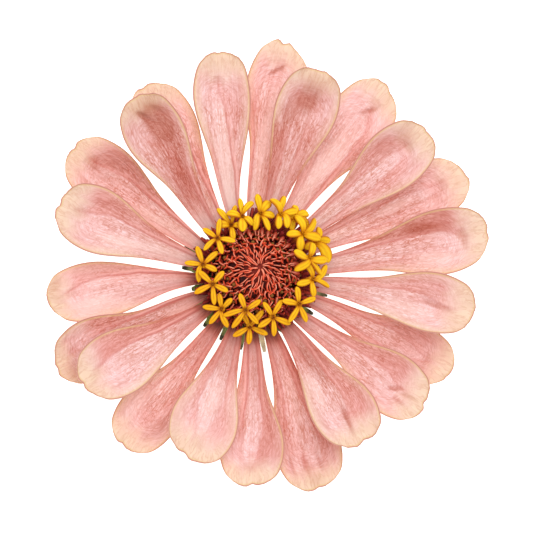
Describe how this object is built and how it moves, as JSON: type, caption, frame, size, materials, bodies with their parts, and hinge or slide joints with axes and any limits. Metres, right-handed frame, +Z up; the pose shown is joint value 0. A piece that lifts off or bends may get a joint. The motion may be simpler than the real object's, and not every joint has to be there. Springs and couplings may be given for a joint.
{
  "type": "zinnia flower",
  "caption": "Single zinnia flower head, face up: broad pink rays round a ring of yellow stars and a dark red cone, on a green bract cup with a short cut stem.",
  "frame": {"origin": "on the surface that the cut stem stands on, under the middle of the whole flower's box", "axes": "+Z up along the flower's axis, out of its face; +Y towards the picture's top, +X towards its right"},
  "size_m": [0.0793, 0.0822, 0.0245],
  "materials": {
    "ray": "soft matte petal, salmon pink with a cream rim",
    "disc_floret": "velvety golden yellow",
    "chaff": "dry dark red scales with salmon fringed tips",
    "bract": "matte green with a dark brown end",
    "receptacle": "ribbed, slightly hairy green stem flesh"
  },
  "bodies": {
    "root": {"receptacle": "receptacle", "chaff_cone": "chaff", "ray_01": "ray", "ray_02": "ray", "ray_03": "ray", "ray_04": "ray", "ray_05": "ray", "ray_06": "ray", "ray_07": "ray", "ray_08": "ray", "ray_09": "ray", "ray_10": "ray", "ray_11": "ray", "ray_12": "ray", "ray_13": "ray", "ray_14": "ray", "ray_15": "ray", "ray_16": "ray", "ray_17": "ray", "ray_18": "ray", "ray_19": "ray", "ray_20": "ray", "ray_21": "ray", "ray_22": "ray", "disc_floret_01": "disc_floret", "disc_floret_02": "disc_floret", "disc_floret_03": "disc_floret", "disc_floret_04": "disc_floret", "disc_floret_05": "disc_floret", "disc_floret_06": "disc_floret", "disc_floret_07": "disc_floret", "disc_floret_08": "disc_floret", "disc_floret_09": "disc_floret", "disc_floret_10": "disc_floret", "disc_floret_11": "disc_floret", "disc_floret_12": "disc_floret", "disc_floret_13": "disc_floret", "disc_floret_14": "disc_floret", "disc_floret_15": "disc_floret", "disc_floret_16": "disc_floret", "disc_floret_17": "disc_floret", "bract_01": "bract", "bract_02": "bract", "bract_03": "bract", "bract_04": "bract", "bract_05": "bract", "bract_06": "bract", "bract_07": "bract", "bract_08": "bract", "bract_09": "bract", "bract_10": "bract", "bract_11": "bract", "bract_12": "bract", "bract_13": "bract", "bract_14": "bract", "bract_15": "bract", "bract_16": "bract", "bract_17": "bract", "bract_18": "bract"}
  },
  "joints": []
}
